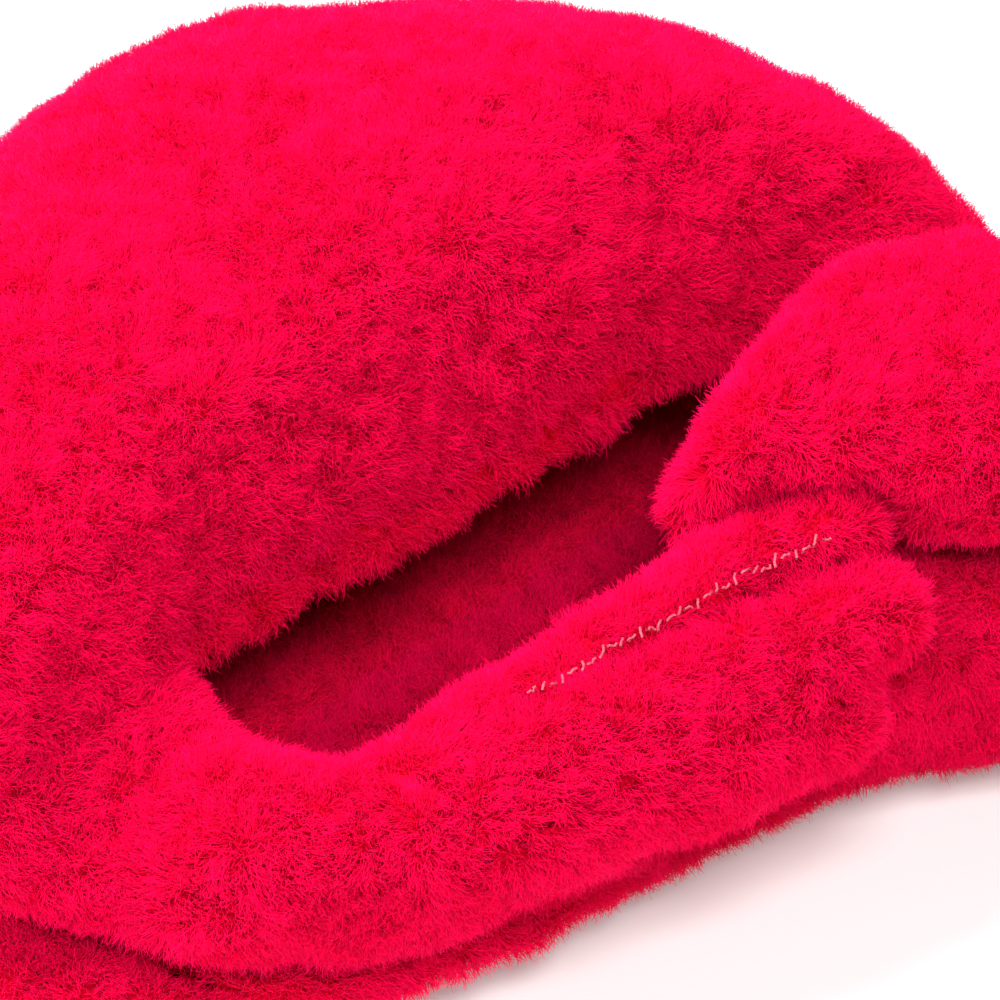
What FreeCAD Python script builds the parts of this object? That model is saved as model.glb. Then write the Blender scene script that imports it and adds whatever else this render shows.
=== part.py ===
"""Convertible flip-top mitten of plush fabric: one right-hand mitten on its back, palm up.

+Y points to the fingertips, +X to the thumb side, +Z out of the palm. The origin is under the
middle of the mitten, on the surface that it lies on. A half-moon finger slit crosses the palm
on a slant. The flap beyond it covers the fingers and folds back about the hinge line on the
back of the hand, straight under the slit. The thumb lies over the palm and lifts off it.
"slit frame" below means: t along the slit towards the thumb side, w across it towards the
fingertips, both measured from the middle of the slit.
"""
import FreeCAD, Part
import math
import os

from FreeCAD import Vector

# ---- driving dimensions (mm, degrees)
SHELL = 7.0             # outer plush: backing and pile
LINING = 5.0            # lining plush: backing and pile
WALL = SHELL + LINING
BODY_GAP = 0.3          # clearance between pieces that move against each other
SEAM_HALF = 0.5         # half the width of a side seam
FLATTENED = 1.5         # pile pressed flat where the mitten lies on its back

SLIT_SLANT = 33.5       # slit and hinge line, turned from the X axis
SLIT_MIDDLE = Vector(0.5, 25, 0)
SLIT_FRONT = -2.0       # w of the flap's front face
SLIT_NEAR = -50.0       # t of the slit's little-finger end
SLIT_FAR = 46.0         # t of the slit's thumb end
SLIT_DEPTH = 25.0       # how far the half-moon reaches back into the palm
LIP_HEIGHT = 36.0       # underside of the flap's rolled front edge
LIP_RADIUS = 34.0       # roll of the flap's front edge, up to its crown
LIP_DEPTH = 12.0        # hemmed strip along the flap's front edge

# body sections across the hand: (y, x on the little-finger side, x on the thumb side, top)
HAND_SECTIONS = [
    (-104, -32, 52, 50),
    (-72, -24, 49, 46),
    (-42, -22, 48, 44),
    (-22, -34, 56, 43),
    (-4, -56, 67, 42),
    (16, -73, 72, 42),
    (45, -74, 73, 43),
    (72, -73, 70, 43),
    (86, -72, 66, 43),
]
# flap sections: (y, x on the little-finger side, x on the thumb side, underside, top)
FLAP_SECTIONS = [
    (-28, -40, 52, 0, 58),
    (-6, -56, 66, 0, 65),
    (22, -73, 75, 0, 70),
    (50, -74, 71, 0, 70),
    (76, -70, 52, 2, 64),
    (94, -54, 24, 9, 52),
    (104, -34, -2, 17, 39),
]
FLAP_ROUNDING = 60.0    # y where the fingertip end starts to close
HAND_SEAM = 20.0        # height of the hand's side seams
FLAP_SEAM = 30.0        # height of the seam round the flap

CUFF_END = -104.0
CUFF_HEM = 10.0         # turned hem round the cuff's mouth
ELASTIC_MIDDLE = -68.0
ELASTIC_WIDTH = 16.0
ELASTIC_THICKNESS = 1.0
HINGE_SEAM = 2.0        # stitched strip along the hinge line

ROLL_RADIUS = 6.0       # turned hem of the palm, along the slit and round the thumb
ROLL_ROUTE = [Vector(-51, 21, 40), Vector(-36, 0, 40), Vector(-15, -31, 40)]
STITCH_RADIUS = 0.5

# thumb sections from its root to its tip: (distance, half width, underside, top)
THUMB_ROOT = Vector(18, -62, 0)
THUMB_TIP = Vector(2, -2, 0)
THUMB_SECTIONS = [
    (0, 18, 46.6, 63),
    (16, 20, 45.6, 66),
    (38, 20, 44.8, 67),
    (54, 17, 46.0, 64),
    (61, 10, 49.0, 59),
]
GUSSET_LENGTH = 22.0    # the hand's collar that the thumb grows out of
THUMB_WALL = 4.0        # thumb's outer plush
THUMB_LINING = 2.5

BIG = 400.0


def slit_point(t, w, z=0.0):
    """A point given in the slit frame."""
    turn = math.radians(SLIT_SLANT)
    along = Vector(math.cos(turn), -math.sin(turn), 0)
    across = Vector(math.sin(turn), math.cos(turn), 0)
    return SLIT_MIDDLE + along * t + across * w + Vector(0, 0, z)


def slit_prism(face_points, t_low, t_high):
    """Prism along the slit from t_low to t_high; its outline is edges in the (w, z) plane."""
    face = Part.Face(Part.Wire(face_points))
    return face.extrude(slit_point(t_high, 0) - slit_point(t_low, 0))


def slit_box(t_low, t_high, w_low, w_high, z_low, z_high):
    """Box with its sides along the slit frame."""
    corners = [(w_low, z_low), (w_high, z_low), (w_high, z_high), (w_low, z_high), (w_low, z_low)]
    wire = Part.makePolygon([slit_point(t_low, w, z) for w, z in corners])
    return slit_prism(wire.Edges, t_low, t_high)


def row_box(x_low, x_high, y_low, y_high, z_low, z_high):
    """Box with its sides along X, Y and Z."""
    return Part.makeBox(x_high - x_low, y_high - y_low, z_high - z_low,
                        Vector(x_low, y_low, z_low))


def ellipse_wire(middle, side, half_width, half_height):
    """Upright ellipse round middle; side is the unit vector across it."""
    ellipse = Part.Ellipse(middle + side * half_width, middle + Vector(0, 0, half_height), middle)
    return Part.Wire(ellipse.toShape())


def lofted(sections, inset, closing_from=None):
    """Solid through the sections (y, near x, far x, underside, top), each drawn in by inset.

    The sections past closing_from are drawn in lengthwise too, so that the wall closes the end.
    """
    end = sections[-1][0]
    wires = []
    for y, near, far, low, top in sections:
        if closing_from is not None and y > closing_from:
            y -= inset * (y - closing_from) / (end - closing_from)
        middle = Vector((near + far) / 2, y, (low + top) / 2)
        half_width = max((far - near) / 2 - inset, 6)
        half_height = max((top - low) / 2 - inset, 4)
        wires.append(ellipse_wire(middle, Vector(1, 0, 0), half_width, half_height))
    return Part.makeLoft(wires, True, False)


def hand_form(inset):
    """The hand part, from the cuff to past the slit, drawn in by inset."""
    sections = [(y, near, far, -FLATTENED, top) for y, near, far, top in HAND_SECTIONS]
    form = lofted(sections, inset).common(above(0))
    return form.common(slit_box(-BIG, BIG, -BIG, SLIT_FRONT - BODY_GAP, -BIG, BIG))


def flap_form(inset):
    """The flap, drawn in by inset, with its front edge rolled down towards the slit."""
    radius = LIP_RADIUS - inset
    front = SLIT_FRONT + inset
    crown = SLIT_FRONT + LIP_RADIUS
    middle = math.radians(135)
    arc = Part.Arc(slit_point(-BIG, front, LIP_HEIGHT),
                   slit_point(-BIG, crown + radius * math.cos(middle),
                              LIP_HEIGHT + radius * math.sin(middle)),
                   slit_point(-BIG, crown, LIP_HEIGHT + radius))
    rest = Part.makePolygon([slit_point(-BIG, w, z) for w, z in (
        (crown, LIP_HEIGHT + radius), (BIG, LIP_HEIGHT + radius), (BIG, -BIG), (front, -BIG),
        (front, LIP_HEIGHT))])
    rolled = slit_prism([arc.toShape()] + rest.Edges, -BIG, BIG)
    sections = [(y, near, far, low - FLATTENED, top) for y, near, far, low, top in FLAP_SECTIONS]
    return lofted(sections, inset, FLAP_ROUNDING).common(above(0)).common(rolled)


def half_moon(z_low, z_high):
    """Upright prism of the finger slit's opening in the palm."""
    middle_t = (SLIT_NEAR + SLIT_FAR) / 2
    start = slit_point(SLIT_NEAR, SLIT_FRONT + 1, z_low)
    end = slit_point(SLIT_FAR, SLIT_FRONT + 1, z_low)
    deepest = slit_point(middle_t, SLIT_FRONT - SLIT_DEPTH, z_low)
    outline = Part.Wire([Part.Arc(start, deepest, end).toShape(),
                         Part.makeLine(end, start)])
    return Part.Face(outline).extrude(Vector(0, 0, z_high - z_low))


def above(height):
    return row_box(-BIG, BIG, -BIG, BIG, height, BIG)


def below(height):
    return row_box(-BIG, BIG, -BIG, BIG, -BIG, height)


def thumb_axis():
    """Unit vectors along the thumb and across it."""
    along = (THUMB_TIP - THUMB_ROOT).normalize()
    across = Vector(-along.y, along.x, 0)
    return along, across


def thumb_form(inset, start=0.0):
    """The thumb from its root to its tip, drawn in by inset."""
    along, across = thumb_axis()
    wires = []
    for distance, half_width, low, top in THUMB_SECTIONS:
        reach = min(max(distance, start), THUMB_SECTIONS[-1][0] - inset)
        middle = THUMB_ROOT + along * reach + Vector(0, 0, (low + top) / 2)
        wires.append(ellipse_wire(middle, across, max(half_width - inset, 5),
                                  max((top - low) / 2 - inset, 2.5)))
    return Part.makeLoft(wires, True, False)


def gusset_form(inset):
    """Collar on the hand that rises out of the palm to meet the thumb's root."""
    along, across = thumb_axis()
    _, half_width, low, top = THUMB_SECTIONS[0]
    root = ellipse_wire(THUMB_ROOT - along * BODY_GAP + Vector(0, 0, (low + top) / 2), across,
                        half_width - inset, (top - low) / 2 - inset)
    heel = ellipse_wire(THUMB_ROOT - along * GUSSET_LENGTH + Vector(0, 0, low - 4), across,
                        half_width - 3 - inset, 6 - inset / 2)
    return Part.makeLoft([heel, root], True, False)


def hand_nodes():
    outer = hand_form(0)
    middle = hand_form(SHELL)
    inner = hand_form(WALL)
    opening = half_moon(HAND_SEAM, BIG)
    roll = hem_roll()
    gusset = gusset_form(0)

    hem_slab = row_box(-BIG, BIG, -BIG, CUFF_END + CUFF_HEM, -BIG, BIG)
    hinge_slab = slit_box(-BIG, BIG, SLIT_FRONT - BODY_GAP - HINGE_SEAM, BIG, -BIG, HAND_SEAM - SEAM_HALF)
    seam_slab = row_box(-BIG, BIG, -BIG, BIG, HAND_SEAM - SEAM_HALF, HAND_SEAM + SEAM_HALF)

    shell = outer.cut(middle).cut(hem_slab)
    lining = middle.cut(inner).cut(hem_slab)
    elastic_slab = row_box(-BIG, BIG, ELASTIC_MIDDLE - ELASTIC_WIDTH / 2,
                           ELASTIC_MIDDLE + ELASTIC_WIDTH / 2, -BIG, BIG)
    elastic = middle.cut(hand_form(SHELL + ELASTIC_THICKNESS)).common(elastic_slab)
    lining = lining.cut(elastic)

    back_shell = shell.common(below(HAND_SEAM - SEAM_HALF))
    palm_shell = shell.common(above(HAND_SEAM + SEAM_HALF)).cut(opening).cut(roll).cut(gusset)
    palm_lining = lining.common(above(HAND_SEAM)).cut(opening).cut(roll).cut(gusset)
    seam = shell.common(seam_slab).cut(opening)

    return {
        "back_shell": back_shell.cut(hinge_slab),
        "hinge_seam": back_shell.common(hinge_slab),
        "palm_shell": palm_shell,
        "back_lining": lining.common(below(HAND_SEAM)),
        "palm_lining": palm_lining,
        "side_seam_little_finger": seam.common(row_box(-BIG, 10, -BIG, BIG, -BIG, BIG)),
        "side_seam_thumb_side": seam.common(row_box(10, BIG, -BIG, BIG, -BIG, BIG)),
        "cuff_hem": outer.cut(inner).common(hem_slab),
        "wrist_elastic": elastic,
        "palm_hem_roll": roll,
        "palm_hem_stitching": hem_stitching(),
        "thumb_gusset": gusset.cut(gusset_form(THUMB_WALL)).cut(inner),
    }


def tube(route, radius):
    """Round tube along one arc through three points."""
    arc = Part.Arc(*route)
    path = Part.Wire(arc.toShape())
    start_direction = arc.tangent(arc.FirstParameter)[0]
    ring = Part.Wire(Part.Circle(route[0], start_direction, radius).toShape())
    return path.makePipeShell([ring], True, True)


def hem_roll():
    """The palm's turned hem, a soft roll with rounded ends."""
    roll = tube(ROLL_ROUTE, ROLL_RADIUS)
    for end in (ROLL_ROUTE[0], ROLL_ROUTE[-1]):
        roll = roll.fuse(Part.makeSphere(ROLL_RADIUS, end))
    return roll.removeSplitter()


def hem_stitching():
    """Line of stitching on the crest of the hem roll."""
    crest = Vector(0, 0, ROLL_RADIUS + STITCH_RADIUS)
    return tube([point + crest for point in ROLL_ROUTE], STITCH_RADIUS)


def flap_nodes():
    outer = flap_form(0)
    middle = flap_form(SHELL)
    inner = flap_form(WALL)
    mouth = slit_box(SLIT_NEAR, SLIT_FAR, -BIG, SLIT_FRONT + WALL + 1, WALL, LIP_HEIGHT)
    lip_slab = slit_box(SLIT_NEAR, SLIT_FAR, -BIG, SLIT_FRONT + LIP_DEPTH, LIP_HEIGHT,
                        LIP_HEIGHT + LIP_DEPTH)
    seam_slab = row_box(-BIG, BIG, -BIG, BIG, FLAP_SEAM - SEAM_HALF, FLAP_SEAM + SEAM_HALF)

    shell = outer.cut(middle).cut(mouth).cut(lip_slab)
    lining = middle.cut(inner).cut(mouth).cut(lip_slab)
    return {
        "flap_back_shell": shell.common(below(FLAP_SEAM - SEAM_HALF)),
        "flap_palm_shell": shell.common(above(FLAP_SEAM + SEAM_HALF)),
        "flap_side_seam": shell.common(seam_slab),
        "flap_back_lining": lining.common(below(FLAP_SEAM)),
        "flap_palm_lining": lining.common(above(FLAP_SEAM)),
        "flap_edge_hem": outer.cut(inner).common(lip_slab),
    }


def thumb_nodes():
    outer = thumb_form(0)
    middle = thumb_form(THUMB_WALL)
    inner = thumb_form(THUMB_WALL + THUMB_LINING)
    seam_height = (THUMB_SECTIONS[1][2] + THUMB_SECTIONS[1][3]) / 2
    seam_slab = row_box(-BIG, BIG, -BIG, BIG, seam_height - SEAM_HALF, seam_height + SEAM_HALF)
    shell = outer.cut(middle)
    return {
        "thumb_front_shell": shell.common(above(seam_height + SEAM_HALF)),
        "thumb_back_shell": shell.common(below(seam_height - SEAM_HALF)),
        "thumb_side_seam": shell.common(seam_slab),
        "thumb_lining": middle.cut(inner),
    }


def main():
    os.makedirs("parts", exist_ok=True)
    nodes = {**hand_nodes(), **flap_nodes(), **thumb_nodes()}
    whole = FreeCAD.BoundBox()
    for name, shape in nodes.items():
        if not shape.isValid() or not shape.Solids:
            raise RuntimeError(name + " is not a valid solid")
        shape.exportStep("parts/" + name + ".step")
        whole.add(shape.BoundBox)
        print("%-24s solids %d  volume %8.0f mm3" % (name, len(shape.Solids), shape.Volume))
    print("box", whole)


main()
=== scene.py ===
"""Looks of the flip-top mitten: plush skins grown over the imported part, with their pile.

Lengths in this script are millimetres in the row frame until a mesh is made from them. Each skin
is the zero surface of a field, a function of position that is negative inside the fabric.
"""
import math

import bpy
import numpy as np
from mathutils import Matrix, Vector


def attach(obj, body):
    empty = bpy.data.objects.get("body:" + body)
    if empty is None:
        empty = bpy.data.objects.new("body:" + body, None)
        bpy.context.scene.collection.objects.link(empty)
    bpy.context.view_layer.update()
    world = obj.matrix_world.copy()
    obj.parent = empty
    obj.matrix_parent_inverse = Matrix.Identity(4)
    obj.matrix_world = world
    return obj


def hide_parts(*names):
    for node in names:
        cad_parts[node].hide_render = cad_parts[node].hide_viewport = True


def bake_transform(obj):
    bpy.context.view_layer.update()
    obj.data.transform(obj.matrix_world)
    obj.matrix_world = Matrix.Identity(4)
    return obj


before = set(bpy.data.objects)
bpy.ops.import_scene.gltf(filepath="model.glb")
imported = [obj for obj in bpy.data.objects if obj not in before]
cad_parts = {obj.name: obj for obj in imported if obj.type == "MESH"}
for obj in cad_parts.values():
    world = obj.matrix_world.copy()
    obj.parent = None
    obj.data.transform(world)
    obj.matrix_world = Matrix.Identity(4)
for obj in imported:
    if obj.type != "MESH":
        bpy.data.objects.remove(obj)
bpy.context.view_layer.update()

MM = 0.001

# ---- slit frame: t along the finger slit towards the thumb side, w across it to the fingertips
SLIT_SLANT = math.radians(33.5)
SLIT_MIDDLE = (0.5, 25.0)
SPLIT = -2.15           # w of the hinge line, where hand and flap part
SPLIT_GAP = 0.3

# ---- outline of the mitten: (y, x on the little-finger side, x on the thumb side, low, top)
PALM_STATIONS = [
    (-104, -24, 52, 1, 50),
    (-72, -15, 50, 1, 47),
    (-42, -10, 49, 1, 44),
    (-22, -21, 56, 1, 43),
    (-4, -39, 67, 2, 42),
    (16, -60, 72, 4, 42),
    (45, -73, 73, 8, 43),
    (72, -71, 66, 14, 42),
    (92, -52, 40, 14, 40),
]
BACK_STATIONS = [
    (-104, -20, 50, 0, 30),
    (-72, -12, 48, 0, 28),
    (-42, -6, 47, 0, 26),
    (-22, -17, 54, 0, 24),
    (-4, -36, 65, 0, 22),
    (16, -58, 71, 0, 22),
    (45, -77, 73, 0, 25),
    (72, -75, 66, 0, 26),
    (92, -56, 40, 2, 28),
    (104, -34, 6, 10, 24),
]
FLAP_STATIONS = [
    (-30, -32, 50, 0, 57),
    (-6, -46, 66, 0, 63),
    (22, -68, 73, 0, 69.5),
    (50, -75, 69, 0, 70),
    (74, -74, 55, 1, 68.5),
    (90, -61, 33, 6, 58),
    (99, -45, 12, 13, 46),
    (104, -28, -8, 22, 38),
]
WALL = 12.0             # outer plush and lining together
PLUSH = 6.0             # outer plush alone
PILE = 2.6              # how far the pile stands above its backing
END_Y = 104             # the cuff is at -END_Y and the fingertips at END_Y
SLIT_HALF = 50          # half the length of the finger slit


def slit_frame(x, y):
    x, y = x - SLIT_MIDDLE[0], y - SLIT_MIDDLE[1]
    return (x * math.cos(SLIT_SLANT) - y * math.sin(SLIT_SLANT),
            x * math.sin(SLIT_SLANT) + y * math.cos(SLIT_SLANT))


# ------------------------------------------------------------------ field building blocks

def through(stations, y):
    """The stations' columns at y, joined smoothly; the columns are the first axis."""
    table = np.array(stations, float)
    at = table[:, 0]
    slopes = np.gradient(table[:, 1:], at, axis=0)
    i = np.clip(np.searchsorted(at, y) - 1, 0, len(at) - 2)
    span = at[i + 1] - at[i]
    s = np.clip((y - at[i]) / span, 0, 1)[..., None]
    before, after = table[i, 1:], table[i + 1, 1:]
    rise, fall = slopes[i] * span[..., None], slopes[i + 1] * span[..., None]
    value = ((1 + 2 * s) * (1 - s) ** 2 * before + s * (1 - s) ** 2 * rise
             + s * s * (3 - 2 * s) * after + s * s * (s - 1) * fall)
    return np.moveaxis(value, -1, 0)


def joined(a, b, soft):
    """Union of two fields with a fillet."""
    h = np.clip(0.5 + 0.5 * (b - a) / soft, 0, 1)
    return b + (a - b) * h - soft * h * (1 - h)


def shared(a, b, soft=1.0):
    """Overlap of two fields with a rounded edge."""
    return -joined(-a, -b, soft)


def lacking(a, b, soft=1.0):
    """Field a with field b taken out of it."""
    return shared(a, -b, soft)


def oval_tube(stations, x, y, z, power=2.2):
    """A tube with oval sections across Y, about in millimetres near its surface."""
    near, far, low, top = through(stations, y)
    half_width, half_height = (far - near) / 2, (top - low) / 2
    u = np.abs(x - (near + far) / 2) / half_width + 1e-6
    v = np.abs(z - (low + top) / 2) / half_height + 1e-6
    r = (u ** power + v ** power) ** (1 / power)
    steepness = r ** (1 - power) * np.hypot(u ** (power - 1) / half_width,
                                            v ** (power - 1) / half_height)
    return (r - 1) / np.maximum(steepness, 1 / 60)


def rounded_box(parts, radius):
    """Box from its signed distances along each axis, with rounded corners."""
    beyond = sum(np.maximum(part + radius, 0) ** 2 for part in parts)
    within = parts[0]
    for part in parts[1:]:
        within = np.maximum(within, part)
    return np.sqrt(beyond) + np.minimum(within + radius, 0) - radius


def bent_rod(route, radius, x, y, z):
    """Rod along straight spans between route points, each (x, y, z)."""
    nearest = None
    for start, end in zip(route, route[1:]):
        a, b = np.array(start, float), np.array(end, float)
        along = b - a
        px, py, pz = x - a[0], y - a[1], z - a[2]
        h = np.clip((px * along[0] + py * along[1] + pz * along[2]) / along.dot(along), 0, 1)
        gap = np.sqrt((px - h * along[0]) ** 2 + (py - h * along[1]) ** 2
                      + (pz - h * along[2]) ** 2)
        nearest = gap if nearest is None else joined(nearest, gap, 1.5)
    return nearest - radius


# ------------------------------------------------------------------ the mitten's own fields

INNER_RIDGE = [(-54, 24, 31), (-45, 13, 36.5), (-35, 4.0, 39.5), (-23, -6, 42), (-12, -18.5, 43)]
OUTER_RIDGE = [(-54, 18, 31), (-49, 10.5, 35.5), (-40.5, -0.5, 37.5), (-28.5, -13.5, 38),
               (-19, -24, 38)]
ROLL_SWELLING = [(-63, 38, 31), (-58, 20, 31), (-49, 5, 31), (-38, -8, 31), (-28, -18, 31)]
INNER_RADIUS, OUTER_RADIUS, SWELLING_RADIUS = 6.0, 6.8, 9.0
ROLL_RADIUS = 34        # of the flap's rolled front edge


def dome_field(x, y, z):
    """The flap with its front edge rolled down to the slit."""
    t, w = slit_frame(x, y)
    front = -6.0 - 0.05 * np.clip(t + 50, 0, 100)
    crown = front + ROLL_RADIUS
    rolled = np.hypot(np.maximum(crown - w, 0), np.maximum(z - 37, 0)) - ROLL_RADIUS
    closed = shared(oval_tube(FLAP_STATIONS, x, y, z), y - END_Y, 10)
    return shared(closed, rolled, 8)


def hand_tube(x, y, z):
    """The hand with neither end closed."""
    return joined(oval_tube(PALM_STATIONS, x, y, z), oval_tube(BACK_STATIONS, x, y, z), 4)


def hand_field(x, y, z):
    hand = np.maximum(hand_tube(x, y, z), y - END_Y)
    return shared(hand, -END_Y - y, 5)


def outer_field(x, y, z):
    """Outside of the mitten but the thumb and the hem roll, flat where it rests on the floor."""
    hand = joined(hand_field(x, y, z), bent_rod(ROLL_SWELLING, SWELLING_RADIUS, x, y, z), 12)
    return shared(joined(hand, dome_field(x, y, z), 16), -z, 2)


def opening_field(x, y, z):
    """The finger slit and the flap's mouth under its rolled edge."""
    t, w = slit_frame(x, y)
    slit = rounded_box([np.abs(t + 1) - SLIT_HALF, np.abs(w + 14) - 15 + 0 * z], 11)
    slit = np.maximum(slit, 24 - z)
    slit = shared(slit, -dome_field(x, y, z), 2)
    lip = 27 + 0.05 * np.clip(t + 50, 0, 100)
    mouth = rounded_box([np.abs(t + 1) - SLIT_HALF, np.abs(w + 3) - 26, z - lip, 13 - z], 6)
    wrist = shared(hand_tube(x, y, z) + WALL, y + 60, 2)
    return np.minimum(joined(slit, mouth, 3), wrist)


# ------------------------------------------------------------------ meshes out of fields

def grid(low, high, step):
    axes = [np.arange(a, b + step, step) for a, b in zip(low, high)]
    return axes, (axes[0][:, None, None], axes[1][None, :, None], axes[2][None, None, :])


def skin_of(value, axes):
    """Vertices and quads of a field's zero surface (surface nets on a regular grid)."""
    low, step = np.array([axis[0] for axis in axes]), axes[0][1] - axes[0][0]
    inside = value < 0
    corner = [(i, j, k) for i in (0, 1) for j in (0, 1) for k in (0, 1)]
    shape = [n - 1 for n in value.shape]

    def at(array, offset):
        return array[tuple(slice(o, o + n) for o, n in zip(offset, shape))]

    count = sum(at(inside, c).astype(np.int8) for c in corner)
    cells = np.argwhere((count > 0) & (count < 8))
    number = np.full(shape, -1, np.int64)
    number[tuple(cells.T)] = np.arange(len(cells))

    total = np.zeros((len(cells), 3))
    hits = np.zeros(len(cells))
    for a in corner:
        for axis in range(3):
            if a[axis]:
                continue
            b = tuple(1 if k == axis else a[k] for k in range(3))
            va = value[tuple((cells + a).T)]
            vb = value[tuple((cells + b).T)]
            cross = (va < 0) != (vb < 0)
            share = np.where(cross, va / np.where(cross, va - vb, 1), 0)
            point = np.array(a, float)[None, :].repeat(len(cells), 0)
            point[:, axis] += share
            total[cross] += point[cross]
            hits += cross
    verts = (cells + total / hits[:, None]) * step + low

    quads = []
    for axis in range(3):
        others = [k for k in range(3) if k != axis]
        first = [slice(None)] * 3
        second = [slice(None)] * 3
        first[axis], second[axis] = slice(0, -1), slice(1, None)
        flip = inside[tuple(first)] != inside[tuple(second)]
        edges = np.argwhere(flip)
        keep = np.all([(edges[:, k] > 0) & (edges[:, k] < shape[k]) for k in others], axis=0)
        edges = edges[keep & (edges[:, axis] < shape[axis])]
        ring = []
        for du, dv in ((0, 0), (1, 0), (1, 1), (0, 1)):
            cell = edges.copy()
            cell[:, others[0]] -= du
            cell[:, others[1]] -= dv
            ring.append(number[tuple(cell.T)])
        ring = np.stack(ring, 1)
        outward = inside[tuple(edges.T)]
        if axis == 1:
            outward = ~outward
        quads.append(np.where(outward[:, None], ring, ring[:, ::-1]))
    quads = np.concatenate(quads)
    return verts, quads[np.all(quads >= 0, axis=1)]


def without_crumbs(verts, quads):
    """The skin without loose scraps of only a few quads."""
    group = np.arange(len(verts))
    while True:
        lowest = group.copy()
        np.minimum.at(lowest, quads.ravel(), np.repeat(group[quads].min(1), 4))
        lowest = lowest[lowest]
        if np.array_equal(lowest, group):
            break
        group = lowest
    family = group[quads[:, 0]]
    kept = quads[np.bincount(family, minlength=len(verts))[family] >= CRUMB_QUADS]
    used, kept = np.unique(kept, return_inverse=True)
    return verts[used], kept.reshape(-1, 4)


def make_mesh(name, verts, faces):
    mesh = bpy.data.meshes.new(name)
    mesh.vertices.add(len(verts))
    mesh.vertices.foreach_set("co", (verts * MM).astype(np.float32).ravel())
    mesh.loops.add(faces.size)
    mesh.loops.foreach_set("vertex_index", faces.astype(np.int32).ravel())
    mesh.polygons.add(len(faces))
    mesh.polygons.foreach_set("loop_start", np.arange(0, faces.size, faces.shape[1], dtype=np.int32))
    mesh.polygons.foreach_set("loop_total", np.full(len(faces), faces.shape[1], np.int32))
    mesh.polygons.foreach_set("use_smooth", np.ones(len(faces), bool))
    mesh.update(calc_edges=True)
    mesh.validate()
    piece = bpy.data.objects.new(name, mesh)
    bpy.context.scene.collection.objects.link(piece)
    return piece


def plain(name, rgb):
    m = bpy.data.materials.new(name)
    m.use_nodes = True
    m.node_tree.nodes["Principled BSDF"].inputs["Base Color"].default_value = (*rgb, 1)
    m.node_tree.nodes["Principled BSDF"].inputs["Roughness"].default_value = 0.9
    return m


# ------------------------------------------------------------------ materials


def noise_nodes(nodes, links, scale, detail=3.0):
    """Noise over the row frame, in cycles a metre."""
    place = nodes.new("ShaderNodeTexCoord")
    noise = nodes.new("ShaderNodeTexNoise")
    noise.inputs["Scale"].default_value = scale
    noise.inputs["Detail"].default_value = detail
    links.new(place.outputs["Object"], noise.inputs["Vector"])
    return noise


def fabric_material(name, dark, light, scale=350.0, bump=0.5, roughness=0.9):
    """Backing of the pile: two colours in small patches, with a rough nap."""
    m = bpy.data.materials.new(name)
    m.use_nodes = True
    nodes, links = m.node_tree.nodes, m.node_tree.links
    shader = nodes["Principled BSDF"]
    shader.inputs["Roughness"].default_value = roughness
    shader.inputs["Specular IOR Level"].default_value = 0.02
    shader.inputs["Sheen Weight"].default_value = 0.25
    shader.inputs["Sheen Roughness"].default_value = 0.6
    shader.inputs["Sheen Tint"].default_value = (1.0, 0.02, 0.12, 1)
    patches = noise_nodes(nodes, links, scale)
    ramp = nodes.new("ShaderNodeValToRGB")
    ramp.color_ramp.elements[0].position = 0.3
    ramp.color_ramp.elements[1].position = 0.7
    ramp.color_ramp.elements[0].color = (*dark, 1)
    ramp.color_ramp.elements[1].color = (*light, 1)
    links.new(patches.outputs[0], ramp.inputs[0])
    links.new(ramp.outputs[0], shader.inputs["Base Color"])
    nap = noise_nodes(nodes, links, scale * 4, 4.0)
    relief = nodes.new("ShaderNodeBump")
    relief.inputs["Strength"].default_value = bump
    relief.inputs["Distance"].default_value = 0.0006
    links.new(nap.outputs[0], relief.inputs["Height"])
    links.new(relief.outputs[0], shader.inputs["Normal"])
    return m


def pile_material(name, painted_shade_root_colour, tip_colour, least, most):
    """Hairs that brighten from root to tip, each a little different; the darker roots are painted
    shade deep in the pile.
    """
    m = bpy.data.materials.new(name)
    m.use_nodes = True
    nodes, links = m.node_tree.nodes, m.node_tree.links
    shader = nodes["Principled BSDF"]
    shader.inputs["Roughness"].default_value = 0.6
    shader.inputs["Specular IOR Level"].default_value = 0.12
    shader.inputs["Specular Tint"].default_value = (1.0, 0.08, 0.25, 1)
    shader.inputs["Sheen Weight"].default_value = 0.15
    shader.inputs["Sheen Tint"].default_value = (1.0, 0.05, 0.25, 1)
    info = nodes.new("ShaderNodeHairInfo")
    ramp = nodes.new("ShaderNodeValToRGB")
    # the ramp's darker root colour is painted shade deep in the pile
    ramp.color_ramp.elements[0].color = (*painted_shade_root_colour, 1)
    ramp.color_ramp.elements[1].color = (*tip_colour, 1)
    links.new(info.outputs["Intercept"], ramp.inputs[0])
    shade = nodes.new("ShaderNodeHueSaturation")
    spread = nodes.new("ShaderNodeMapRange")
    spread.inputs["To Min"].default_value = least
    spread.inputs["To Max"].default_value = most
    links.new(info.outputs["Random"], spread.inputs["Value"])
    links.new(spread.outputs[0], shade.inputs["Value"])
    links.new(ramp.outputs[0], shade.inputs["Color"])
    links.new(shade.outputs[0], shader.inputs["Base Color"])
    return m


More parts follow.
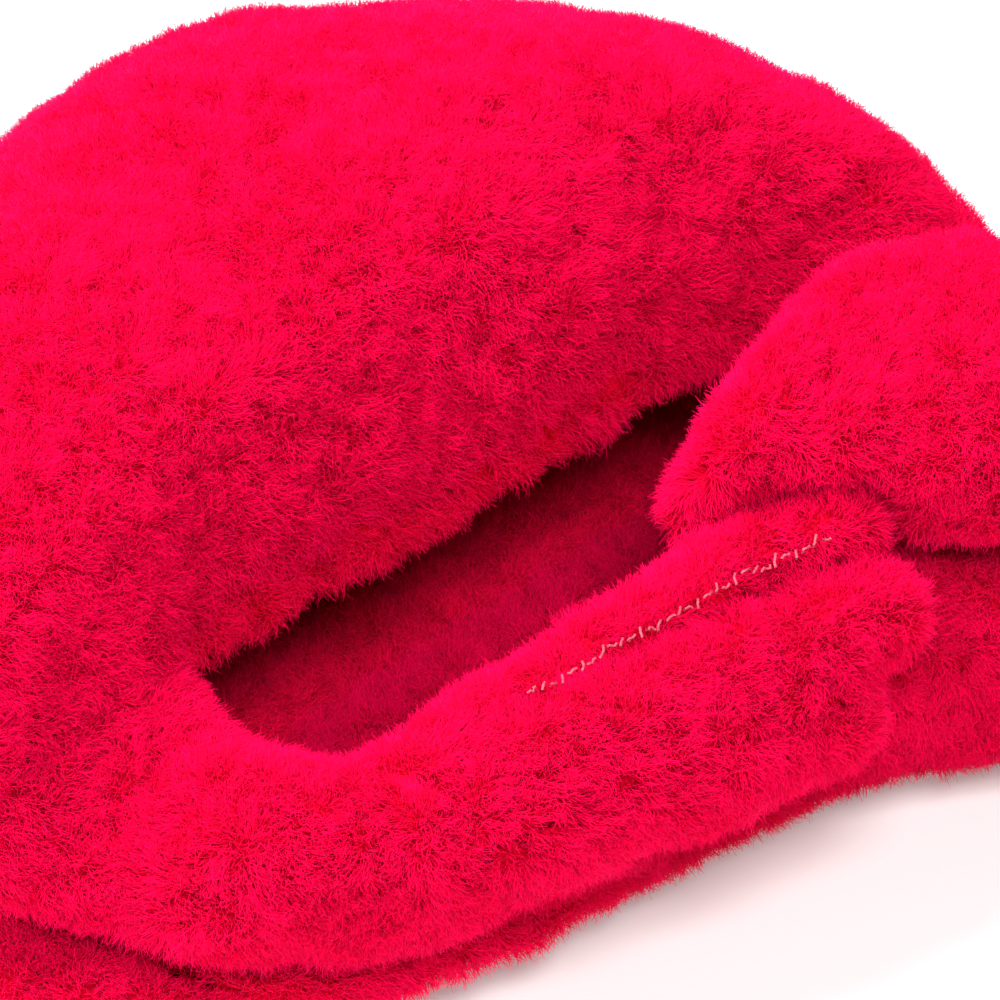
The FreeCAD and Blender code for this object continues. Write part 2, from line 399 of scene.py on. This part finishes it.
PLUSH_BACKING = fabric_material("plush_backing", (0.45, 0.0005, 0.012), (0.72, 0.001, 0.03))
# the lining backing is lighter than the outer plush: painted light that lifts the mitten's inside,
# where the lamps reach little
LINING_BACKING_PAINTED_LIGHT = fabric_material("lining_backing_painted_light", (0.62, 0.0006, 0.015), (0.84, 0.001, 0.032))
SEAM_TAPE = fabric_material("seam_tape", (0.30, 0.001, 0.01), (0.45, 0.002, 0.02), 1500, 0.8)
THREAD = fabric_material("thread", (0.80, 0.07, 0.14), (0.95, 0.22, 0.30), 2500, 0.9, 0.7)
ELASTIC = fabric_material("elastic", (0.30, 0.01, 0.03), (0.50, 0.03, 0.06), 2000, 0.9, 0.7)
PILE_HAIR = pile_material("pile", (0.70, 0.0005, 0.022), (0.98, 0.002, 0.095), 0.82, 1.1)
# the lining hairs are lighter than the outer pile: painted light for the mitten's inside
LINING_HAIR_PAINTED_LIGHT = pile_material("lining_pile_painted_light", (0.82, 0.0008, 0.020), (0.99, 0.003, 0.080), 0.7, 1.2)


# ------------------------------------------------------------------ the pile

HAIR_RADII = 0.034, 0.034, 0.030, 0.014     # from root to tip


def lattice_noise(points, scale, seed, channels=1):
    """Smooth noise from -1 to 1 on a lattice of that scale, with that many channels."""
    table = np.random.default_rng(seed).uniform(-1, 1, (32, 32, 32, channels)).astype(np.float32)
    place = points / scale
    low = np.floor(place).astype(np.int64)
    part = (place - low).astype(np.float32)
    part = part * part * (3 - 2 * part)
    total = np.zeros((len(points), channels), np.float32)
    for i in (0, 1):
        for j in (0, 1):
            for k in (0, 1):
                share = (np.abs(1 - i - part[:, 0]) * np.abs(1 - j - part[:, 1])
                         * np.abs(1 - k - part[:, 2]))
                corner = (low + (i, j, k)) & 31
                total += share[:, None] * table[corner[:, 0], corner[:, 1], corner[:, 2]]
    return total


def surface_points(verts, quads, per_mm2, rng):
    """Random points on the quads with their normals."""
    a, b, c, d = (verts[quads[:, k]] for k in range(4))
    normal = np.cross(c - a, d - b)
    area = np.linalg.norm(normal, axis=1) / 2
    normal /= np.maximum(area[:, None] * 2, 1e-9)
    count = rng.poisson(area * per_mm2)
    face = np.repeat(np.arange(len(quads)), count)
    u, v = rng.random((2, len(face), 1))
    point = ((a[face] * (1 - u) + b[face] * u) * (1 - v)
             + (d[face] * (1 - u) + c[face] * u) * v)
    return point, normal[face]


def unit(v):
    return v / np.maximum(np.linalg.norm(v, axis=1, keepdims=True), 1e-9)


def strands(name, root, normal, body, seed, length, lean, material):
    """One hair object riding on a body: short hairs that lean together in small tufts."""
    rng = np.random.default_rng(seed)
    lay = (lattice_noise(root, 17, 11, 3) * 0.25 + lattice_noise(root, 4.4, 12, 3) * 0.35
           + lattice_noise(root, 1.7, 13, 3) * 0.55 + rng.normal(0, 0.28, root.shape))
    lay -= normal * np.sum(lay * normal, axis=1, keepdims=True)
    reach = length * (1 + 0.18 * lattice_noise(root, 2.6, 14)
                      + rng.normal(0, 0.13, (len(root), 1)))
    reach = np.clip(reach, 0.4 * length, 1.5 * length)
    points = np.stack([root + unit(normal + lay * share * lean) * reach * share
                       + rng.normal(0, 0.22 * share, root.shape)
                       for share in (0.0, 0.35, 0.7, 1.0)], 1).astype(np.float32) * MM
    hair = bpy.data.hair_curves.new(name)
    hair.add_curves([4] * len(root))
    hair.attributes["position"].data.foreach_set("vector", points.ravel())
    radius = np.tile(np.array(HAIR_RADII, np.float32) * MM, len(root))
    hair.attributes.new("radius", "FLOAT", "POINT").data.foreach_set("value", radius)
    hair.materials.append(material)
    grown = bpy.data.objects.new(name, hair)
    bpy.context.scene.collection.objects.link(grown)
    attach(grown, body)


# ------------------------------------------------------------------ parting the fabric

LOW, HIGH = (-86, -108, -4), (82, 108, 76)
CRUMB_QUADS = 60        # a loose scrap smaller than this is left out
STEP = 1.15
HINGE_STRIP = 5.0       # half the width of the fabric that bends at the hinge
HINGE_TOP = 11.0        # z under which fabric belongs to the hinge strip
SEAM_LOW = 7.0          # height of the side seams along the wrist
SEAM_HIGH = 26.0        # and round the fingertips
THUMB_PLUSH, THUMB_LINING = 6.5, 9.0    # depths of the thumb's two layers
THUMB_COS, THUMB_SIN = 0.9642, 0.2654   # the thumb's direction in plan
THUMB_ROOT = -64.0      # place along the thumb where its gusset starts
THUMB_SEAM_Z = 40       # height of the seam between the thumb's two outer halves
ROOT_BEND_START = -82   # place along the thumb where its root starts to bend
ROOT_PILE_Y = -72       # y that shares the root's pile out between hand and thumb
MID_Z = 26.0            # height that parts palm and back inside the cavity
SEAM_GROOVE = 2.6       # how far the pile is drawn in along a seam
SEAM_HALF = 0.9         # half the thickness of a seam's tape
CUFF_HEM = -86.0        # y where the turned hem of the cuff ends
HEM_REACH = 1.5         # how far past its rolls the palm's hem goes into the palm
EDGE_HEM = 9.0          # width of the flap's turned edge
ELASTIC_Y = -96         # middle of the wrist elastic, which reaches that far to each side
ELASTIC_REACH = 4
ELASTIC_DEPTH, ELASTIC_HALF = 6, 0.9    # its depth under the surface and half its thickness


def split_at(x, y, z):
    """w of the surface that parts hand and flap: upright at the hinge, under the roll above."""
    rise = np.clip((z - 22) / 12, 0, 1)
    return SPLIT - 12 * rise * rise * (3 - 2 * rise)


def seam_height(x, y):
    """The side seam's height: low along the wrist, climbing round the fingertips."""
    climb = np.clip((y - 22) / 50, 0, 1) + 0 * x
    return SEAM_LOW + (SEAM_HIGH - SEAM_LOW) * climb * climb * (3 - 2 * climb)


def away_from_sides(x, y):
    """0 along the mitten's sides, where its seams are, and 1 in its middle."""
    near, far, low, top = through(BACK_STATIONS, y)
    edge = np.clip((np.abs(x - (near + far) / 2) / ((far - near) / 2) - 0.7) / 0.2, 0, 1)
    return 1 - edge * edge * (3 - 2 * edge)


def thumb_frame(x, y):
    """s along the thumb towards its end, and c across it."""
    return ((x - 2) * -THUMB_SIN + y * THUMB_COS,
            (x - 1) * THUMB_COS + y * THUMB_SIN)


def thumb_field(x, y, z):
    """The thumb as it lies over the palm, with its end cut on the slant."""
    s, c = thumb_frame(x, y)
    half = 19.5 - 2.5 * np.clip((-s - 30) / 35, 0, 1)
    height = 13.0 - 1.5 * np.clip((-s - 40) / 30, 0, 1)
    sink = np.clip((-s - 58) / 30, 0, 1)
    middle = 48.5 + 1.5 * np.clip(c / 20, -1, 1) - 17 * sink * sink * (3 - 2 * sink)
    body = ((np.abs(c) / half) ** 2.8 + (np.abs(z - middle) / height) ** 2.8) ** (1 / 2.8)
    body = (body - 1) * 14
    end = (s + 2.6 + 0.655 * c + 0.42 * (z - middle)) / 1.26
    return shared(shared(body, end, 4), -84 - s, 4)


def roll_field(x, y, z):
    """The two rolls of the hem along the slit's palm side."""
    return joined(bent_rod(INNER_RIDGE, INNER_RADIUS, x, y, z),
                  bent_rod(OUTER_RIDGE, OUTER_RADIUS, x, y, z), 0.8)


class Cloth:
    """The fields that every piece is cut from, worked out once on one grid."""

    def __init__(self):
        self.axes, (x, y, z) = grid(LOW, HIGH, STEP)
        shape = [len(axis) for axis in self.axes]
        spots = np.stack([np.broadcast_to(part, shape).ravel() for part in (x, y, z)], 1)
        tufts = (lattice_noise(spots, 3.4, 21) * 0.55 + lattice_noise(spots, 9, 22) * 0.5)
        tufts = tufts.reshape(shape)
        t, w = slit_frame(x, y)
        inward = away_from_sides(x, y)
        seam = seam_height(x, y)
        level = z - seam - (MID_Z - seam) * inward
        groove = SEAM_GROOVE * np.exp(-(level / 2.2) ** 2) * (1 - inward)
        outer = outer_field(x, y, z) + groove
        self.outer = outer.astype(np.float32)
        thumb = thumb_field(x, y, z)
        fabric = lacking(lacking(outer, outer + WALL, 2), opening_field(x, y, z), 5)
        roll = roll_field(x, y, z)
        fabric = joined(lacking(fabric, thumb, 3), roll, 4)
        s = thumb_frame(x, y)[0]
        gusset = np.maximum(shared(thumb, s - THUMB_ROOT, 1), -outer - WALL)
        fabric = lacking(joined(fabric, gusset, 9), thumb + THUMB_LINING, 2)
        self.gusset = np.maximum(thumb - 2, s - THUMB_ROOT).astype(np.float32)
        self.fabric = (fabric + tufts + PILE).astype(np.float32)
        self.thumb = (lacking(thumb, roll - 0.5, 2) + tufts + PILE).astype(np.float32)
        self.hem = (roll - HEM_REACH).astype(np.float32)
        self.level = np.broadcast_to(level, shape).astype(np.float32)
        self.flap = (w - split_at(x, y, z)).astype(np.float32)
        self.w = np.broadcast_to(w, shape).astype(np.float32)
        self.y = np.broadcast_to(y, shape).astype(np.float32)
        self.z = np.broadcast_to(z, shape).astype(np.float32)
        self.s = np.broadcast_to(s, shape).astype(np.float32)
        self.depth = -self.outer - PLUSH
        strip = np.maximum(np.abs(self.w - SPLIT) - HINGE_STRIP, self.z - HINGE_TOP)
        self.strip = strip
        self.cuff = self.y - CUFF_HEM
        self.edge = np.maximum(self.flap - EDGE_HEM, 22 - self.z)
        self.elastic = np.maximum(np.abs(hand_tube(x, y, z) + ELASTIC_DEPTH) - ELASTIC_HALF,
                                  np.abs(self.y - ELASTIC_Y) - ELASTIC_REACH)

    def cut(self, base, *within):
        """The part of a field inside all the given ones, with a hair's gap to its neighbours."""
        value = base
        for field in within:
            value = np.maximum(value, field + SPLIT_GAP / 2)
        return value


cloth = Cloth()


def mesh_piece(name, value, material, node_names, body=None, bend=None):
    """A piece of fabric from its field; it rides on a body, or, when bend is given, stays unparented
    in the row frame.
    """
    verts, quads = without_crumbs(*skin_of(value, cloth.axes))
    piece = make_mesh(name, verts, quads)
    piece.data.materials.append(material)
    if bend:
        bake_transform(piece)
    else:
        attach(piece, body)
    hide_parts(*node_names)
    return verts, quads, value


HAIRS_PER_MM2 = 20.0
pile_length = PILE + 0.3
PLUSH_NAP = 1.15, PILE_HAIR         # how far the hairs lean, and their material
LINING_NAP = 1.9, LINING_HAIR_PAINTED_LIGHT
seeds = iter(range(100, 200))


def grow(name, shape, base, rides, thin=None):
    """Pile on the part of a piece that lies on the fabric's own surface, not on its cut edges."""
    verts, quads, value = shape
    rng = np.random.default_rng(next(seeds))
    root, normal = surface_points(verts, quads, HAIRS_PER_MM2, rng)
    cell = ((root - np.array(LOW)) / STEP + 0.5).astype(int)
    shown = value[tuple(cell.T)] <= base[tuple(cell.T)] + 0.3
    if thin is not None:
        shown &= thin(root, rng)
    root, normal = root[shown], normal[shown]
    for body, side in rides:
        mine = side(root) if side else np.ones(len(root), bool)
        if mine.any():
            strands(f"{name}_pile_{body}", root[mine], normal[mine], body, next(seeds),
                    pile_length, *(LINING_NAP if "lining" in name else PLUSH_NAP))


def clear_of_deep_inside(root, rng):
    """Fewer hairs where only the cavity's depths are."""
    x, y, z = root.T
    inside = outer_field(x, y, z) < -WALL + PILE + 1.5
    t, w = slit_frame(x, y)
    far = (np.abs(w + 5) > 50) & (y > -70)
    return ~(inside & far) | (rng.random(len(root)) < 0.15)


hand = -cloth.strip, cloth.flap, -cloth.cuff, -cloth.hem, -cloth.gusset
flap = -cloth.strip, -cloth.flap, -cloth.edge, -cloth.hem
above, below = SEAM_HALF - cloth.level, cloth.level + SEAM_HALF
plush, lining = cloth.depth, -cloth.depth
FABRIC_PIECES = [
    ("palm_plush", (*hand, above, plush), "hand", "palm_shell"),
    ("back_plush", (*hand, below, plush), "hand", "back_shell"),
    ("palm_lining_plush", (*hand, above, lining), "hand", "palm_lining"),
    ("back_lining_plush", (*hand, below, lining), "hand", "back_lining"),
    ("flap_palm_plush", (*flap, above, plush), "flap", "flap_palm_shell"),
    ("flap_back_plush", (*flap, below, plush), "flap", "flap_back_shell"),
    ("flap_palm_lining_plush", (*flap, above, lining), "flap", "flap_palm_lining"),
    ("flap_back_lining_plush", (*flap, below, lining), "flap", "flap_back_lining"),
    ("flap_edge_plush", (cloth.edge, -cloth.flap, -cloth.strip), "flap", "flap_edge_hem"),
    ("cuff_hem_plush", (cloth.cuff, -cloth.elastic), "hand", "cuff_hem"),
]
for name, within, body, node in FABRIC_PIECES:
    is_lining = "lining" in name
    shape = mesh_piece(name, cloth.cut(cloth.fabric, *within),
                       LINING_BACKING_PAINTED_LIGHT if is_lining else PLUSH_BACKING,
                       [node], body)
    grow(name, shape, cloth.fabric, [(body, None)], clear_of_deep_inside)


def at_slit(t, w, z):
    """Row frame point, in metres, from slit coordinates."""
    return ((SLIT_MIDDLE[0] + t * math.cos(SLIT_SLANT) + w * math.sin(SLIT_SLANT)) * MM,
            (SLIT_MIDDLE[1] - t * math.sin(SLIT_SLANT) + w * math.cos(SLIT_SLANT)) * MM, z * MM)


def on_flap(root):
    return slit_frame(root[:, 0], root[:, 1])[1] > SPLIT


def on_hand(root):
    return ~on_flap(root)


strip_bend = ("hand", "flap", at_slit(0, SPLIT - HINGE_STRIP, 0),
              at_slit(0, SPLIT + HINGE_STRIP, 0))
shape = mesh_piece("hinge_plush", cloth.cut(cloth.fabric, cloth.strip), PLUSH_BACKING,
                   ["hinge_seam"], bend=strip_bend)
grow("hinge", shape, cloth.fabric, [("hand", on_hand), ("flap", on_flap)])

# seam tapes, sunk in their grooves
tape = np.maximum(np.abs(cloth.level) - SEAM_HALF, cloth.fabric + 0.8)
right = np.broadcast_to(cloth.axes[0][:, None, None], tape.shape)
mesh_piece("side_seam_little_finger_tape", cloth.cut(tape, *hand, right), SEAM_TAPE,
           ["side_seam_little_finger"], "hand")
mesh_piece("side_seam_thumb_side_tape", cloth.cut(tape, *hand, -right), SEAM_TAPE,
           ["side_seam_thumb_side"], "hand")
mesh_piece("flap_side_seam_tape", cloth.cut(tape, *flap), SEAM_TAPE,
           ["flap_side_seam"], "flap")
mesh_piece("wrist_elastic_band", cloth.elastic, ELASTIC, ["wrist_elastic"], "hand")

# the thumb: two outer halves, their lining, the seam between them and its root
thumb_wall = np.maximum(cloth.thumb, -(cloth.thumb + THUMB_LINING - PILE))
upper = cloth.z - THUMB_SEAM_Z
thumb_part = -cloth.s + THUMB_ROOT
inner = -(cloth.thumb + THUMB_PLUSH - PILE)
THUMB_PIECES = [
    ("thumb_front_plush", (SEAM_HALF - upper, inner), PLUSH_BACKING, "plush",
     "thumb_front_shell"),
    ("thumb_back_plush", (SEAM_HALF + upper, inner), PLUSH_BACKING, "plush",
     "thumb_back_shell"),
    ("thumb_lining_plush", (-inner,), LINING_BACKING_PAINTED_LIGHT, "lining_plush", "thumb_lining"),
    ("thumb_side_seam_tape", (np.abs(upper) - SEAM_HALF, inner, cloth.thumb + 1),
     SEAM_TAPE, "seam_backing", "thumb_side_seam"),
]
for name, within, material, slot, node in THUMB_PIECES:
    shape = mesh_piece(name, cloth.cut(thumb_wall, thumb_part, *within), material, [node],
                       "thumb")
    if material is PLUSH_BACKING:
        grow(name, shape, cloth.thumb, [("thumb", None)])


def along_thumb(s):
    return tuple(np.array([2 - THUMB_SIN * s, THUMB_COS * s, 50.0]) * MM)


root_bend = ("hand", "thumb", along_thumb(ROOT_BEND_START), along_thumb(THUMB_ROOT))
shape = mesh_piece("thumb_root_plush", cloth.cut(cloth.fabric, cloth.gusset), PLUSH_BACKING,
                   ["thumb_gusset"], bend=root_bend)
grow("thumb_root", shape, cloth.fabric,
     [("hand", lambda root: root[:, 1] < ROOT_PILE_Y),
      ("thumb", lambda root: root[:, 1] >= ROOT_PILE_Y)])

# the hem of the slit's palm side, and the pale stitching in the valley between its two rolls
def seam_route(count):
    """Points along the stitching, laid in the valley between the rolls."""
    share = np.linspace(0.18, 0.95, count)
    sides = []
    for ridge in (INNER_RIDGE, OUTER_RIDGE[1:]):
        line = np.array(ridge, float)
        run = np.concatenate([[0], np.cumsum(np.linalg.norm(np.diff(line, axis=0), axis=1))])
        sides.append([np.interp(share * run[-1], run, line[:, k]) for k in (0, 1)])
    x, y = np.mean(sides, axis=0)
    heights = np.arange(56, 25, -0.1)
    solid = roll_field(x[:, None], y[:, None], heights[None, :]) < 0.6
    return np.stack([x, y, heights[np.argmax(solid, axis=1)]], 1)


def parted(root, rng):
    """Pile is parted along the stitching."""
    route = seam_route(120)
    gap = np.min(np.linalg.norm(root[:, None, :2] - route[None, :, :2], axis=2), axis=1)
    return (gap > 1.3) | (rng.random(len(root)) < 0.2)


shape = mesh_piece("palm_hem_plush", cloth.cut(cloth.fabric, cloth.hem, cloth.w - SPLIT + 4),
                   PLUSH_BACKING, ["palm_hem_roll"], "hand")
grow("palm_hem", shape, cloth.fabric, [("hand", None)], parted)


def stitching():
    """A wavering thread with small slanted stitches over it."""
    rng = np.random.default_rng(71)
    route = seam_route(160)
    route += rng.normal(0, 0.08, (160, 3))
    route[:, 2] += 0.35 * np.sin(np.arange(160) * 0.35) - 0.45
    curve = bpy.data.curves.new("palm_hem_stitching_thread", "CURVE")
    curve.dimensions = "3D"
    curve.bevel_depth = 0.15 * MM
    curve.bevel_resolution = 2
    spans = [route[k:k + 5] for k in range(0, 155, 5)]
    for k, span in enumerate(spans):
        stitch = span + rng.normal(0, 0.1, span.shape)
        if k % 2:
            stitch = stitch[1:4] + np.linspace(-0.45, 0.45, 3)[:, None] * (0.8, 0.6, 0.3)
        spline = curve.splines.new("POLY")
        spline.points.add(len(stitch) - 1)
        spline.points.foreach_set("co", np.hstack([stitch * MM,
                                                   np.ones((len(stitch), 1))]).ravel())
    thread = bpy.data.objects.new("palm_hem_stitching_thread", curve)
    bpy.context.scene.collection.objects.link(thread)
    curve.materials.append(THREAD)
    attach(thread, "hand")
    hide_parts("palm_hem_stitching")


stitching()

# ------------------------------------------------------------------ camera, floor, lights
CAMERA_AZIMUTH = math.radians(-77.7)
CAMERA_ELEVATION = math.radians(40)
LOOK_AT = np.array([0.17, 23.2, 30.3]) * MM
DISTANCE = 0.9
FRAME_WIDTH = 0.115

away = np.array([math.sin(CAMERA_AZIMUTH) * math.cos(CAMERA_ELEVATION),
                 -math.cos(CAMERA_AZIMUTH) * math.cos(CAMERA_ELEVATION),
                 math.sin(CAMERA_ELEVATION)])
camera_data = bpy.data.cameras.new("camera")
camera_data.lens = camera_data.sensor_width * DISTANCE / FRAME_WIDTH
camera = bpy.data.objects.new("camera", camera_data)
camera.location = LOOK_AT + away * DISTANCE
camera.rotation_euler = (math.pi / 2 - CAMERA_ELEVATION, 0, CAMERA_AZIMUTH)
bpy.context.scene.collection.objects.link(camera)
bpy.context.scene.camera = camera

floor_mesh = bpy.data.meshes.new("floor")
floor_mesh.from_pydata([(-3, -3, 0), (3, -3, 0), (3, 3, 0), (-3, 3, 0)], [], [(0, 1, 2, 3)])
floor = bpy.data.objects.new("floor", floor_mesh)
floor_material = plain("floor", (0.80, 0.80, 0.80))
floor_shader = floor_material.node_tree.nodes["Principled BSDF"]
floor_shader.inputs["Roughness"].default_value = 1.0
floor_shader.inputs["Emission Color"].default_value = (1, 1, 1, 1)
floor_shader.inputs["Emission Strength"].default_value = 0.25
floor_mesh.materials.append(floor_material)
bpy.context.scene.collection.objects.link(floor)


def area_light(name, place, size, power):
    data = bpy.data.lights.new(name, "AREA")
    data.size = size
    data.energy = power
    lamp = bpy.data.objects.new(name, data)
    lamp.location = place
    lamp.rotation_euler = (Vector(LOOK_AT) - Vector(place)).to_track_quat("-Z", "Y").to_euler()
    bpy.context.scene.collection.objects.link(lamp)


area_light("key", (-0.06, 0.72, 1.12), 0.6, 41)
area_light("fill", (-0.62, -0.22, 0.95), 0.35, 12)
world = bpy.data.worlds.new("world")
world.use_nodes = True
world.node_tree.nodes["Background"].inputs[0].default_value = (1, 1, 1, 1)
world.node_tree.nodes["Background"].inputs[1].default_value = 0.17
bpy.context.scene.world = world
bpy.context.scene.view_settings.view_transform = "Standard"
